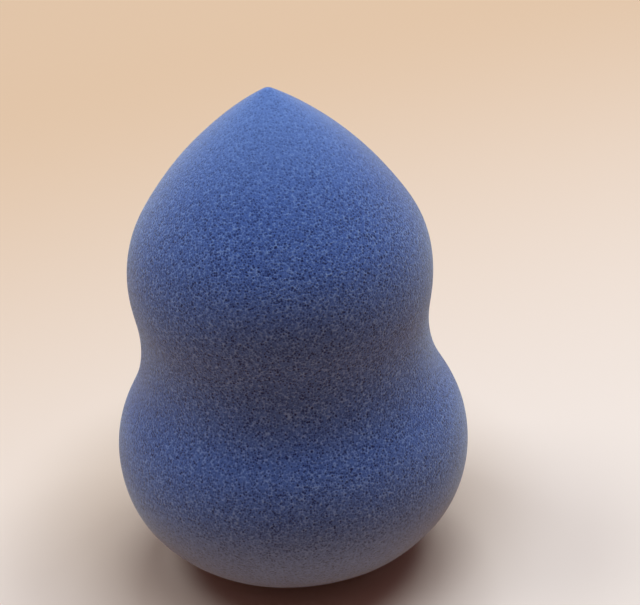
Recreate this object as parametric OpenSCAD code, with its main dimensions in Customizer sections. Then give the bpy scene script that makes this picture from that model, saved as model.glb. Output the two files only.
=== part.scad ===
// Gourd-shaped makeup sponge, ground from one block of soft foam.
// It is a body of revolution about +Z. Its outline is a chain of arcs, each tangent to the next:
// a flat foot, a crowned underside, a wide lower lobe, a waist, an upper lobe, a long flank and
// a small round nose. The origin is the centre of the foot. All sizes are in millimetres.

/* [Lower lobe] */
// Width of the lower lobe at its widest level
lower_d = 42; // [36:0.5:56]
// Height of that widest level above the foot
lower_rise = 14.5; // [10:0.25:18.5]
// How far above the foot's level the round of the side would bottom out, if it ran on
under_crown = 1; // [0.5:0.1:4]
// Width of the flat foot that it stands on
foot_d = 16; // [8:0.5:20]

/* [Waist] */
// Height of the waist above the lower lobe's widest level
waist_rise = 15.3; // [10:0.1:24]
// How far the waist is drawn in from the upper lobe, on each side
waist_depth = 0.8; // [0.3:0.05:4]

/* [Upper lobe] */
// Width of the upper lobe at its widest level
upper_d = 35.4; // [26:0.1:42]
// Height of that widest level above the waist
upper_rise = 7.6; // [4:0.1:14]
// Radius of the shoulder above the widest level
shoulder_round = 14; // [8:0.5:20]
// Radius of the long flank that runs from the shoulder to the nose
flank_round = 44; // [28:1:90]

/* [Tip] */
// Height of the tip above the upper lobe's widest level
tip_rise = 22.6; // [17:0.1:32]
// Radius of the nose that blunts the tip
nose_round = 1.2; // [0.6:0.1:3]

/* [Hidden] */
$fn = 180;

// The arcs of the outline are drawn in steps of no more than this many degrees.
arc_step = 3;

// Half widths
foot_r = foot_d / 2;
lower_r = lower_d / 2;
upper_r = upper_d / 2;
waist_r = upper_r - waist_depth;

// Heights above the foot
lower_z = lower_rise;
waist_z = lower_z + waist_rise;
upper_z = waist_z + upper_rise;
tip_z = upper_z + tip_rise;

// A point is [distance from the axis, height]. Directions are in degrees.
outwards = 0;
upwards = 90;
inwards = 180;
function direction(a, b) = atan2(b[1] - a[1], b[0] - a[0]);
function on_circle(centre, r, angle) = centre + r * [cos(angle), sin(angle)];

// A lobe runs into the waist by two equal arcs that turn opposite ways and meet halfway.
// The outline is upright at both ends of the pair, which are rise apart and depth apart.
function s_curve_round(rise, depth) = (rise * rise + depth * depth) / (4 * depth);

// Centre of the underside's arc, which lies on the axis. The arc starts at the foot's edge
// and runs smoothly into the round of the side, a circle of radius r about the point c.
function underside_centre(c, r) =
    let (
        k = foot_r * foot_r + r * r - c * c,
        clear = c[1] * c[1] - r * r
    )
    [0, (r * sqrt(k * k + 4 * foot_r * foot_r * clear) - c[1] * k) / (2 * clear)];

// Centre of an arc of radius r that runs smoothly from a circle about c1 into one about c2.
// It curves round both, so its centre lies on the far side of them, across the axis.
function flank_centre(r, c1, r1, c2, r2) =
    let (
        apart = norm(c2 - c1),
        to_1 = r - r1,
        to_2 = r - r2,
        along = (to_1 * to_1 - to_2 * to_2 + apart * apart) / (2 * apart),
        aside = sqrt(to_1 * to_1 - along * along),
        way = (c2 - c1) / apart
    )
    c1 + along * way + aside * [-way[1], way[0]];

// Lower lobe: the round of the side below its widest level, and the underside
side_r = lower_rise - under_crown;
side_c = [lower_r - side_r, lower_z];
under_c = underside_centre(side_c, side_r);
under_r = norm([foot_r, 0] - under_c);

// From the lower lobe's widest level up to the waist
low_bend_r = s_curve_round(waist_z - lower_z, lower_r - waist_r);
low_bulge_c = [lower_r - low_bend_r, lower_z];
low_hollow_c = [waist_r + low_bend_r, waist_z];

// From the waist up to the upper lobe's widest level
high_bend_r = s_curve_round(upper_z - waist_z, upper_r - waist_r);
high_hollow_c = [waist_r + high_bend_r, waist_z];
high_bulge_c = [upper_r - high_bend_r, upper_z];

// From the upper lobe's widest level up to the tip
shoulder_c = [upper_r - shoulder_round, upper_z];
nose_c = [0, tip_z - nose_round];
flank_c = flank_centre(flank_round, shoulder_c, shoulder_round, nose_c, nose_round);

// Directions in which one arc meets the next
foot_edge = direction(under_c, [foot_r, 0]);
under_end = direction(under_c, side_c);
low_turn = direction(low_bulge_c, low_hollow_c);
high_turn = direction(high_hollow_c, high_bulge_c);
shoulder_end = direction(flank_c, shoulder_c);
flank_end = direction(flank_c, nose_c);

// The arcs from the foot's edge up to the tip: centre, radius, first and last direction
arcs = [
    [under_c, under_r, foot_edge, under_end],
    [side_c, side_r, under_end, outwards],
    [low_bulge_c, low_bend_r, outwards, low_turn],
    [low_hollow_c, low_bend_r, low_turn + inwards, inwards],
    [high_hollow_c, high_bend_r, inwards, high_turn],
    [high_bulge_c, high_bend_r, high_turn - inwards, outwards],
    [shoulder_c, shoulder_round, outwards, shoulder_end],
    [flank_c, flank_round, shoulder_end, flank_end],
    [nose_c, nose_round, flank_end, upwards],
];

// Points along an arc in even steps, without its first point, where the arc before it ends
function arc_points(arc) =
    let (
        turn = arc[3] - arc[2],
        steps = ceil(abs(turn) / arc_step)
    )
    [for (i = [1 : steps]) on_circle(arc[0], arc[1], arc[2] + turn * i / steps)];

// Half of the sponge's outline, from the axis outwards
module half_outline() {
    polygon([
        [0, 0],
        [foot_r, 0],
        for (arc = arcs) each arc_points(arc),
    ]);
}

module foam_body() {
    color("#4f6699") rotate_extrude() half_outline();
}

foam_body();
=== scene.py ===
import math

import bmesh
import bpy
from mathutils import Euler, Matrix, Vector, noise


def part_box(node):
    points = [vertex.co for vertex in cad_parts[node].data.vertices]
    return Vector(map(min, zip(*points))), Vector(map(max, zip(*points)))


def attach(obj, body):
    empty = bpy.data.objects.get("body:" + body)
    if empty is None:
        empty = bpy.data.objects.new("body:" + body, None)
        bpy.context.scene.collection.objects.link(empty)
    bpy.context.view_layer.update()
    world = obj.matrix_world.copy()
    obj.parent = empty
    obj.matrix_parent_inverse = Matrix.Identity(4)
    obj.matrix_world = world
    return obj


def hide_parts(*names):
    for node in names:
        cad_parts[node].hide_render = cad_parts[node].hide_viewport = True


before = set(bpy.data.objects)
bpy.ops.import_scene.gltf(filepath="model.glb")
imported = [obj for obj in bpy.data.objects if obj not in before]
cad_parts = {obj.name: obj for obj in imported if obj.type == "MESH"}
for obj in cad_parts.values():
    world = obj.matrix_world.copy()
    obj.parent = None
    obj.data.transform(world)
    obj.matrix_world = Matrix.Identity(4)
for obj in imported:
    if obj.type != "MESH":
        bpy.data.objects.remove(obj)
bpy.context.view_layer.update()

MM = 0.001


# The outline, from the foot to the tip

# A chain of arcs, each tangent to the next. A point is (distance from the axis, height).
foam_low, foam_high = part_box("foam_body")
TIP_Z = foam_high.z
LOWER_R = (foam_high.x - foam_low.x) / 2
FOOT_R = 8.0 * MM
FOOT_ROUND = 4.0 * MM
UNDER_CROWN = 1.0 * MM
LOWER_Z = 14.5 * MM
WAIST_R = 16.9 * MM
WAIST_Z = 29.8 * MM
UPPER_R = 17.7 * MM
UPPER_Z = 37.4 * MM
SHOULDER_ROUND = 14.0 * MM
FLANK_ROUND = 44.0 * MM
NOSE_ROUND = 1.2 * MM

# Directions from an arc's centre, in radians
OUTWARDS = 0.0
UPWARDS = math.pi / 2
INWARDS = math.pi


def direction(a, b):
    """The direction in which b lies from a, in radians up from outwards."""
    return math.atan2(b.y - a.y, b.x - a.x)


def s_curve_round(rise, depth):
    """Radius of the two equal arcs that lead from a lobe into the waist."""
    return (rise * rise + depth * depth) / (4 * depth)


def underside_centre(side_c, side_r):
    """Centre of the underside's arc, from the foot's edge into the round of the side."""
    k = FOOT_R ** 2 + side_r ** 2 - side_c.dot(side_c)
    clear = side_c.y ** 2 - side_r ** 2
    root = math.sqrt(k * k + 4 * FOOT_R ** 2 * clear)
    return Vector((0, (side_r * root - side_c.y * k) / (2 * clear)))


def foot_round_centre(under_c, under_r):
    """Centre of the small arc that softens the edge between the foot and the underside."""
    aside = (under_r - FOOT_ROUND) ** 2 - (under_c.y - FOOT_ROUND) ** 2
    return Vector((math.sqrt(aside), FOOT_ROUND))


def flank_centre(r, c1, r1, c2, r2):
    """Centre of an arc of radius r that curves round the circles about c1 and c2."""
    way = c2 - c1
    apart = way.length
    way.normalize()
    along = ((r - r1) ** 2 - (r - r2) ** 2 + apart ** 2) / (2 * apart)
    aside = math.sqrt((r - r1) ** 2 - along ** 2)
    return c1 + along * way + aside * Vector((-way.y, way.x))


def outline_arcs():
    """Each arc's centre, and the direction from it in which the arc ends."""
    side_r = LOWER_Z - UNDER_CROWN
    side = Vector((LOWER_R - side_r, LOWER_Z))
    under = underside_centre(side, side_r)
    foot_round = foot_round_centre(under, (Vector((FOOT_R, 0)) - under).length)
    low_bend = s_curve_round(WAIST_Z - LOWER_Z, LOWER_R - WAIST_R)
    low_bulge = Vector((LOWER_R - low_bend, LOWER_Z))
    low_hollow = Vector((WAIST_R + low_bend, WAIST_Z))
    high_bend = s_curve_round(UPPER_Z - WAIST_Z, UPPER_R - WAIST_R)
    high_hollow = Vector((WAIST_R + high_bend, WAIST_Z))
    high_bulge = Vector((UPPER_R - high_bend, UPPER_Z))
    shoulder = Vector((UPPER_R - SHOULDER_ROUND, UPPER_Z))
    nose = Vector((0, TIP_Z - NOSE_ROUND))
    flank = flank_centre(FLANK_ROUND, shoulder, SHOULDER_ROUND, nose, NOSE_ROUND)
    return [
        (foot_round, direction(under, foot_round)),
        (under, direction(under, side)),
        (side, OUTWARDS),
        (low_bulge, direction(low_bulge, low_hollow)),
        (low_hollow, INWARDS),
        (high_hollow, direction(high_hollow, high_bulge)),
        (high_bulge, OUTWARDS),
        (shoulder, direction(flank, shoulder)),
        (flank, direction(flank, nose)),
        (nose, UPWARDS),
    ]


# The foam body

# The cage is coarse, and two levels of subdivision bring its faces down to about a third
# of a millimetre.
CAGE_STEPS = 96
CAGE_ROW = 1.55 * MM
CAGE_TURN = math.radians(12)
CAGE_LEVELS = 2
MERGE_WITHIN = 0.001 * MM

# Grinding leaves the foam a little uneven, and its tip a little off the axis.
UNEVEN_SIZE = 7 * MM
UNEVEN_DEPTH = 0.07 * MM
DRIFT_FROM = 48 * MM
TIP_DRIFT = 0.18 * MM


def swing(bm, point, centre, end):
    """Swings a point round a centre as a compass does, up to the direction end."""
    start = direction(centre, point.co.xz)
    turn = (end - start + math.pi) % (2 * math.pi) - math.pi
    reach = (point.co.xz - centre).length
    steps = math.ceil(max(abs(turn) * reach / CAGE_ROW, abs(turn) / CAGE_TURN))
    made = bmesh.ops.spin(
        bm,
        geom=[point],
        cent=(centre.x, 0, centre.y),
        axis=(0, -1, 0),
        angle=turn,
        steps=steps,
    )
    return made["geom_last"][0]


def wear(bm):
    """Makes the sponge a little uneven above its foot, and draws its tip to one side."""
    bm.normal_update()
    for point in bm.verts:
        clear = min(point.co.z / FOOT_ROUND, 1)
        push = UNEVEN_DEPTH * clear * noise.noise(point.co / UNEVEN_SIZE)
        drift = max(point.co.z - DRIFT_FROM, 0) / (TIP_Z - DRIFT_FROM)
        point.co += point.normal * push
        point.co.x += TIP_DRIFT * drift ** 2


def foam_mesh():
    """Turns the outline round the axis, and closes it at the foot's centre and the tip."""
    arcs = outline_arcs()
    flat_r = arcs[0][0].x
    bm = bmesh.new()
    foot_edge = point = bm.verts.new((flat_r, 0, 0))
    for centre, end in arcs:
        point = swing(bm, point, centre, end)
    foot_line = bm.edges.new((bm.verts.new((0, 0, 0)), foot_edge))
    bmesh.ops.subdivide_edges(bm, edges=[foot_line], cuts=int(flat_r / CAGE_ROW))
    bmesh.ops.spin(
        bm,
        geom=bm.verts[:] + bm.edges[:],
        cent=(0, 0, 0),
        axis=(0, 0, 1),
        angle=2 * math.pi,
        steps=CAGE_STEPS,
        use_merge=True,
    )
    bmesh.ops.remove_doubles(bm, verts=bm.verts, dist=MERGE_WITHIN)
    bmesh.ops.recalc_face_normals(bm, faces=bm.faces)
    wear(bm)
    mesh = bpy.data.meshes.new("foam_sponge")
    bm.to_mesh(mesh)
    bm.free()
    mesh.shade_smooth()
    return mesh


sponge = bpy.data.objects.new("foam_sponge", foam_mesh())
bpy.context.collection.objects.link(sponge)
finer = sponge.modifiers.new("finer", "SUBSURF")
finer.levels = finer.render_levels = CAGE_LEVELS


# Node helpers

def feed(tree, socket, value):
    """Links a socket to what feeds it, or gives it a plain value."""
    if isinstance(value, bpy.types.NodeSocket):
        tree.links.new(value, socket)
    else:
        socket.default_value = value


def node(tree, kind, inputs=None, **settings):
    """Adds a node with its settings, and with its inputs by name or number."""
    made = tree.nodes.new(kind)
    for name, value in settings.items():
        setattr(made, name, value)
    for name, value in (inputs or {}).items():
        feed(tree, made.inputs[name], value)
    return made


def maths(tree, operation, *values):
    """One step of arithmetic on values or sockets."""
    made = tree.nodes.new("ShaderNodeMath")
    made.operation = operation
    for socket, value in zip(made.inputs, values):
        feed(tree, socket, value)
    return made.outputs["Value"]


def ramp(tree, value, start, end, low=0.0, high=1.0):
    """A value that goes smoothly from low at start to high at end."""
    made = node(tree, "ShaderNodeMapRange", {
        "Value": value,
        "From Min": start,
        "From Max": end,
        "To Min": low,
        "To Max": high,
    }, interpolation_type="SMOOTHSTEP")
    return made.outputs["Result"]


def tinted(tree, share, plain, tint):
    """A colour that goes from plain to tint by a share from 0 to 1."""
    made = tree.nodes.new("ShaderNodeMix")
    made.data_type = "RGBA"
    colours = [socket for socket in made.inputs if socket.type == "RGBA"]
    for socket, value in zip([made.inputs["Factor"]] + colours, [share, plain, tint]):
        feed(tree, socket, value)
    return next(socket for socket in made.outputs if socket.type == "RGBA")


def srgb(r, g, b):
    """A colour as seen on a screen, from 0 to 255 a channel, as Blender's linear one."""
    def linear(c):
        c = c / 255
        return c / 12.92 if c <= 0.04045 else ((c + 0.055) / 1.055) ** 2.4
    return (linear(r), linear(g), linear(b), 1)


def new_material(name):
    """A material, its node tree and its shader."""
    material = bpy.data.materials.new(name)
    material.use_nodes = True
    return material, material.node_tree, material.node_tree.nodes["Principled BSDF"]


# The blue foam

FOAM_BLUE = srgb(71, 103, 191)
FOAM_GREYER = srgb(79, 107, 185)
CLOUD_SIZE = 6 * MM
# The pores' dark colour is painted shade inside the holes.
PORE_PAINTED_SHADE = srgb(2, 12, 86)
# Cell walls are paler: partly their own colour, partly a painted highlight where they catch
# light.
WALL_PALE_AND_GLINT = srgb(140, 168, 232)
WALL_PALENESS = 0.9
# The paler colour of the painted highlight on the tip and the painted bounce light on the
# underside.
PAINTED_LIGHT_PALER = srgb(118, 142, 206)

# Cut foam is matt, with a fuzz that catches a soft sheen towards its outline.
FOAM_ROUGH = 0.82
PORE_ROUGH = 1.0
FOAM_SPECULAR = 0.15
SHEEN = 0.7
SHEEN_ROUGH = 0.5
SHEEN_TINT = srgb(216, 221, 234)

FINE_CELL = 0.25 * MM
OPEN_CELL = 0.54 * MM
PORE_DEPTH = 0.04 * MM

# The least and the greatest reach of a pore from its cell's middle, in cell sizes
FINE_PORES = (0.4, 0.95)
OPEN_PORES = (0.0, 0.5)

# A pore is at its deepest over this share of its reach.
PORE_BOTTOM = 0.3

# A wall rises between these distances from its cell's middle, by this share of a pore's depth.
WALL_FROM = 0.45
WALL_TO = 0.85
WALL_RISE = 0.6

# The pores show less on the tip and underside, where light fills them: less painted shade in
# them, and a shallower bump. The tip is painted paler as a painted highlight, and the underside
# as painted bounce light from the floor.
TIP_FROM = 43 * MM
TIP_SHOW = 0.4
TIP_HIGHLIGHT_FROM = 48 * MM
TIP_HIGHLIGHT_SHARE = 0.5
UNDER_FROM = 9 * MM
UNDER_TO = 17.5 * MM
UNDER_SHOW = 0.6
UNDER_BOUNCE_SHARE = 0.8


def pore_group():
    """Foam cells of one size. Each has its own chance of a wide pore, a deep one and a wall."""
    tree = bpy.data.node_groups.new("foam_pores", "ShaderNodeTree")
    socket = tree.interface.new_socket
    socket("Place", in_out="INPUT", socket_type="NodeSocketVector")
    for name in ("Cells per Metre", "Least Width", "Most Width"):
        socket(name, in_out="INPUT", socket_type="NodeSocketFloat")
    for name in ("Pore", "Wall"):
        socket(name, in_out="OUTPUT", socket_type="NodeSocketFloat")
    given = tree.nodes.new("NodeGroupInput").outputs
    out = tree.nodes.new("NodeGroupOutput").inputs
    cells = node(tree, "ShaderNodeTexVoronoi", {
        "Vector": given["Place"],
        "Scale": given["Cells per Metre"],
    }).outputs
    chance = node(tree, "ShaderNodeSeparateColor", {"Color": cells["Color"]}).outputs
    width = node(tree, "ShaderNodeMapRange", {
        "Value": chance["Red"],
        "To Min": given["Least Width"],
        "To Max": given["Most Width"],
    }).outputs["Result"]
    bottom = maths(tree, "MULTIPLY", width, PORE_BOTTOM)
    hollow = ramp(tree, cells["Distance"], bottom, width, 1.0, 0.0)
    feed(tree, out["Pore"], maths(tree, "MULTIPLY", hollow, chance["Green"]))
    wall = ramp(tree, cells["Distance"], WALL_FROM, WALL_TO)
    feed(tree, out["Wall"], maths(tree, "MULTIPLY", wall, chance["Blue"]))
    return tree


def foam_material():
    """Cloudy blue foam with painted shade in its pores, pale cell walls with a painted highlight,
    a painted highlight on the tip and painted bounce light on the underside.
    """
    material, tree, shader = new_material("soft_foam")
    place = node(tree, "ShaderNodeTexCoord").outputs["Object"]
    pores = pore_group()

    def foam_cells(size, least, most):
        return node(tree, "ShaderNodeGroup", {
            "Place": place,
            "Cells per Metre": 1 / size,
            "Least Width": least,
            "Most Width": most,
        }, node_tree=pores).outputs

    fine = foam_cells(FINE_CELL, *FINE_PORES)
    wide = foam_cells(OPEN_CELL, *OPEN_PORES)
    pore = maths(tree, "MAXIMUM", fine["Pore"], wide["Pore"])
    height = node(tree, "ShaderNodeSeparateXYZ", {"Vector": place}).outputs["Z"]
    # Less painted shade in the pores at the tip and underside, where light fills them.
    tip_show = ramp(tree, height, TIP_FROM, TIP_Z, 1.0, TIP_SHOW)
    under_show = ramp(tree, height, UNDER_FROM, UNDER_TO, UNDER_SHOW, 1.0)
    show = maths(tree, "MINIMUM", tip_show, under_show)
    pore = maths(tree, "MULTIPLY", pore, show)
    wall = maths(tree, "MULTIPLY", fine["Wall"], show)
    cloudy = node(tree, "ShaderNodeTexNoise", {"Vector": place, "Scale": 1 / CLOUD_SIZE})
    colour = tinted(tree, cloudy.outputs["Fac"], FOAM_BLUE, FOAM_GREYER)
    # A painted highlight pales the tip, and painted bounce light from the floor pales the
    # underside.
    tip_highlight = ramp(tree, height, TIP_HIGHLIGHT_FROM, TIP_Z, 0.0, TIP_HIGHLIGHT_SHARE)
    under_bounce_light = ramp(tree, height, UNDER_FROM, UNDER_TO, UNDER_BOUNCE_SHARE, 0.0)
    painted_light = maths(tree, "MAXIMUM", tip_highlight, under_bounce_light)
    colour = tinted(tree, painted_light, colour, PAINTED_LIGHT_PALER)
    # Pale cell walls: their own paler colour and a painted highlight.
    colour = tinted(tree, maths(tree, "MULTIPLY", wall, WALL_PALENESS), colour, WALL_PALE_AND_GLINT)
    # Painted shade in the pores.
    colour = tinted(tree, pore, colour, PORE_PAINTED_SHADE)
    relief = maths(tree, "SUBTRACT", maths(tree, "MULTIPLY", wall, WALL_RISE), pore)
    bump = node(tree, "ShaderNodeBump", {
        "Height": relief,
        "Distance": PORE_DEPTH,
        "Strength": 1.0,
    })
    feed(tree, shader.inputs["Base Color"], colour)
    rough = ramp(tree, pore, 0.0, 1.0, FOAM_ROUGH, PORE_ROUGH)
    feed(tree, shader.inputs["Roughness"], rough)
    feed(tree, shader.inputs["Normal"], bump.outputs["Normal"])
    shader.inputs["Specular IOR Level"].default_value = FOAM_SPECULAR
    shader.inputs["Sheen Weight"].default_value = SHEEN
    shader.inputs["Sheen Tint"].default_value = SHEEN_TINT
    shader.inputs["Sheen Roughness"].default_value = SHEEN_ROUGH
    return material


sponge.data.materials.append(foam_material())


# The floor

# The floor's colour changes on a slant, from the front right to the back left, as painted light:
# paler at the front right and warmer at the back left.
FLOOR_NEAR = srgb(255, 225, 217)
FLOOR_FAR = srgb(233, 186, 157)
FLOOR_NEAR_Y = -45 * MM
FLOOR_FAR_Y = 176 * MM
FLOOR_SLANT = 0.42
FLOOR_HALF = 1.5

# The light that the floor throws back on the sponge has a colour of its own.
FLOOR_BOUNCE = srgb(236, 178, 136)

# As in the photo, a painted shadow makes the floor round the sponge darker and warmer than its
# lamps make it.
SHADE_AT = Vector((-3.5, 6.5, 0)) * MM
SHADE_FROM = 19 * MM
SHADE_TO = 39 * MM
SHADE_SHARE = 0.36
FLOOR_PAINTED_SHADOW = srgb(150, 105, 60)

# Beyond the lamps' reach, the floor as the camera sees it fades into the room.
FADE_FROM = 0.22
FADE_TO = 0.5
BACKDROP = srgb(231, 205, 178)
BLACK = srgb(0, 0, 0)


def background_rays(tree):
    """1 for a ray that shows the background, straight or by way of metal or glass, else 0."""
    rays = node(tree, "ShaderNodeLightPath").outputs
    bent = maths(tree, "MAXIMUM", rays["Is Glossy Ray"], rays["Is Transmission Ray"])
    return maths(tree, "MAXIMUM", rays["Is Camera Ray"], bent)


def floor():
    """A wide plain floor under the sponge, which isn't part of the object."""
    bm = bmesh.new()
    bmesh.ops.create_grid(bm, x_segments=1, y_segments=1, size=FLOOR_HALF)
    mesh = bpy.data.meshes.new("floor")
    bm.to_mesh(mesh)
    bm.free()
    material, tree, shader = new_material("pale_floor")
    place = node(tree, "ShaderNodeTexCoord").outputs["Object"]
    x, y, _ = node(tree, "ShaderNodeSeparateXYZ", {"Vector": place}).outputs
    # Painted light: the floor paler towards the front right.
    away = maths(tree, "SUBTRACT", y, maths(tree, "MULTIPLY", x, FLOOR_SLANT))
    seen_colour = tinted(tree, ramp(tree, away, FLOOR_NEAR_Y, FLOOR_FAR_Y), FLOOR_NEAR, FLOOR_FAR)
    # A painted shadow on the floor round the sponge.
    aside = node(tree, "ShaderNodeVectorMath", {0: place, 1: SHADE_AT}, operation="DISTANCE")
    shade = ramp(tree, aside.outputs["Value"], SHADE_FROM, SHADE_TO, SHADE_SHARE, 0.0)
    seen_colour = tinted(tree, shade, seen_colour, FLOOR_PAINTED_SHADOW)
    seen = background_rays(tree)
    distance = node(tree, "ShaderNodeVectorMath", {0: place}, operation="LENGTH").outputs["Value"]
    fade = ramp(tree, distance, FADE_FROM, FADE_TO)
    seen_colour = tinted(tree, fade, seen_colour, BLACK)
    feed(tree, shader.inputs["Base Color"], tinted(tree, seen, FLOOR_BOUNCE, seen_colour))
    feed(tree, shader.inputs["Emission Strength"], maths(tree, "MULTIPLY", fade, seen))
    shader.inputs["Emission Color"].default_value = BACKDROP
    shader.inputs["Roughness"].default_value = 1.0
    shader.inputs["Specular IOR Level"].default_value = 0.0
    mesh.materials.append(material)
    made = bpy.data.objects.new("floor", mesh)
    bpy.context.collection.objects.link(made)


# The lamps and the room

# Softboxes over the sponge: name, place and power in watts
LAMPS = [
    ("left", (-0.49, 0.09, 0.82), 2.7),
    ("right", (0.45, 0.17, 0.9), 3.5),
    ("back", (0.1, 0.48, 0.85), 3.0),
    ("front", (0.0, 0.0, 0.9), 2.0),
]
LAMP_WIDTH = 0.45
LAMP_DEPTH = 0.3

# The lamps are a little cold, and the room is warm.
LAMP_COLOUR = (0.75, 1.0, 1.05)
ROOM_WARM = srgb(255, 195, 170)
ROOM_GLOW = 0.135


def softbox(name, place, power):
    """A soft lamp at place that faces the sponge's middle."""
    data = bpy.data.lights.new(name, "AREA")
    data.shape = "RECTANGLE"
    data.size = LAMP_WIDTH
    data.size_y = LAMP_DEPTH
    data.energy = power
    data.color = LAMP_COLOUR
    made = bpy.data.objects.new(name, data)
    made.location = place
    way = Vector((0, 0, TIP_Z / 2)) - made.location
    made.rotation_euler = way.to_track_quat("-Z", "Y").to_euler()
    bpy.context.collection.objects.link(made)


def room():
    """A room that glows dimly and warmly from all sides."""
    world = bpy.data.worlds.new("room")
    world.use_nodes = True
    tree = world.node_tree
    background = tree.nodes["Background"]
    seen = background_rays(tree)
    feed(tree, background.inputs["Color"], tinted(tree, seen, ROOM_WARM, BACKDROP))
    strength = node(tree, "ShaderNodeMix", {"Factor": seen, "A": ROOM_GLOW, "B": 1.0})
    feed(tree, background.inputs["Strength"], strength.outputs["Result"])
    bpy.context.scene.world = world


floor()
for name, place, power in LAMPS:
    softbox(name, place, power)
room()


# The camera

# It looks along +Y and down. Its own lean tips the sponge's top to the left.
AIM = Vector((4.32, 0, 32.73)) * MM
DISTANCE = 250 * MM
ELEVATION = math.radians(28)
LEAN = math.radians(3.98)

# Blender takes these two in millimetres, and the clip start in metres.
SENSOR_WIDTH = 36
LENS = 120.7
CLIP_START = 10 * MM

camera_data = bpy.data.cameras.new("camera")
camera_data.sensor_width = SENSOR_WIDTH
camera_data.lens = LENS
camera_data.clip_start = CLIP_START
camera = bpy.data.objects.new("camera", camera_data)
tilt = Euler((math.pi / 2 - ELEVATION, 0, 0)).to_matrix() @ Matrix.Rotation(-LEAN, 3, "Z")
camera.rotation_euler = tilt.to_euler()
camera.location = AIM + tilt @ Vector((0, 0, DISTANCE))
bpy.context.collection.objects.link(camera)
bpy.context.scene.camera = camera
bpy.context.scene.view_settings.view_transform = "Standard"


# What the sponge stands for

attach(sponge, "root")
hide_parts("foam_body")
